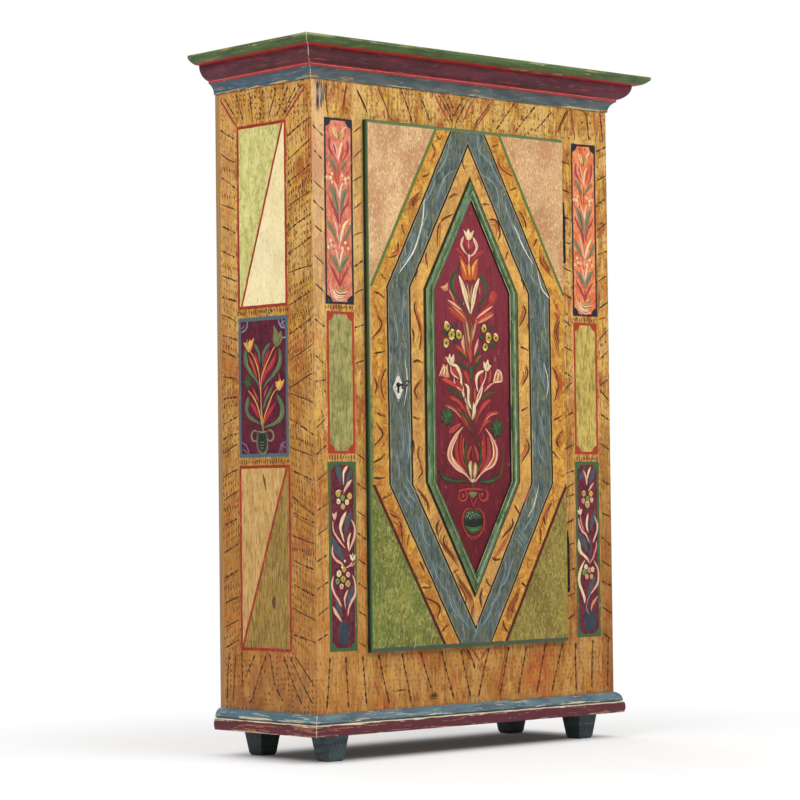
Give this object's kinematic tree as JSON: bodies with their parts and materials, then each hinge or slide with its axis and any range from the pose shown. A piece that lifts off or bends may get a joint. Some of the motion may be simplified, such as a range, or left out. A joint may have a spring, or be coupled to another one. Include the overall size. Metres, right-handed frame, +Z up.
{
  "type": "painted one-door cupboard",
  "caption": "Tall free-standing painted cupboard with a single hinged door, moulded cornice and plinth, tapered feet, shelves inside and a key lock.",
  "frame": {"origin": "on the floor, under the middle of the cupboard's outline seen from above", "axes": "+X to the right seen from the front, +Y to the back, +Z up; the door is on the -Y side"},
  "size_m": [1.234, 0.474, 1.8],
  "materials": {
    "grain_paint": "worn ochre graining paint, satin",
    "door_paint": "worn oil paint in several colours, satin",
    "moulding_paint": "green oil paint, satin",
    "green_paint": "green oil paint, rubbed",
    "plum_paint": "plum oil paint, chipped",
    "blue_paint": "slate-blue oil paint, scuffed",
    "plinth_paint": "blue and plum oil paint, worn",
    "foot_paint": "blackened paint, satin",
    "bare_pine": "bare aged pine, matt",
    "wrought_iron": "dark wrought iron",
    "key_iron": "handled iron",
    "bright_plate": "bright tinned plate"
  },
  "bodies": {
    "carcass": {"back_plank_1": "bare_pine", "back_plank_2": "bare_pine", "back_plank_3": "bare_pine", "back_plank_4": "bare_pine", "bearer_left": "bare_pine", "bearer_right": "bare_pine", "bottom_board": "bare_pine", "bottom_rail": "grain_paint", "cornice_cap_front": "green_paint", "cornice_cap_left": "green_paint", "cornice_cap_right": "green_paint", "cornice_cove_front": "blue_paint", "cornice_cove_left": "blue_paint", "cornice_cove_right": "blue_paint", "cornice_ovolo_front": "plum_paint", "cornice_ovolo_left": "plum_paint", "cornice_ovolo_right": "plum_paint", "foot_front_left": "foot_paint", "foot_front_right": "foot_paint", "foot_rear_left": "foot_paint", "foot_rear_right": "foot_paint", "hinge_lower_frame_leaf": "wrought_iron", "hinge_lower_pin": "wrought_iron", "hinge_upper_frame_leaf": "wrought_iron", "hinge_upper_pin": "wrought_iron", "keeper": "wrought_iron", "plinth_front": "plinth_paint", "plinth_left": "plinth_paint", "plinth_right": "plinth_paint", "shelf_cleats": "bare_pine", "shelf_lower": "bare_pine", "shelf_middle": "bare_pine", "shelf_upper": "bare_pine", "side_left": "grain_paint", "side_right": "grain_paint", "stile_left": "grain_paint", "stile_right": "grain_paint", "top_board": "bare_pine", "top_rail": "grain_paint"},
    "door": {"door_batten_lower": "bare_pine", "door_batten_upper": "bare_pine", "door_board_1": "door_paint", "door_board_2": "door_paint", "door_board_3": "door_paint", "door_board_4": "door_paint", "hinge_lower_door_leaf": "wrought_iron", "hinge_upper_door_leaf": "wrought_iron", "keyhole_plate": "bright_plate", "keyhole_plate_pins": "wrought_iron", "lock_case": "wrought_iron", "lock_plate": "wrought_iron", "lock_screws": "wrought_iron", "moulding_left_bottom": "moulding_paint", "moulding_left_side": "moulding_paint", "moulding_left_top": "moulding_paint", "moulding_right_bottom": "moulding_paint", "moulding_right_side": "moulding_paint", "moulding_right_top": "moulding_paint"},
    "key": {"key": "key_iron"},
    "lock_bolt": {"lock_bolt": "wrought_iron"}
  },
  "joints": [
    {"name": "door_hinge", "type": "hinge", "parent": "carcass", "child": "door", "pos_m": [0.34425, -0.163, 0.94], "axis": [0, 0, 1], "range_deg": [0, 120]},
    {"name": "key_turn", "type": "hinge", "parent": "door", "child": "key", "pos_m": [-0.264, -0.166, 0.943], "axis": [0, 1, 0], "range_deg": [-40, 140]},
    {"name": "bolt_slide", "type": "slide", "parent": "door", "child": "lock_bolt", "axis": [-1, 0, 0], "range_m": [-0.004, 0.014]}
  ],
  "couplings": [
    {"joint": "key_turn", "follows": "bolt_slide", "rad_per_m": 174.53}
  ]
}
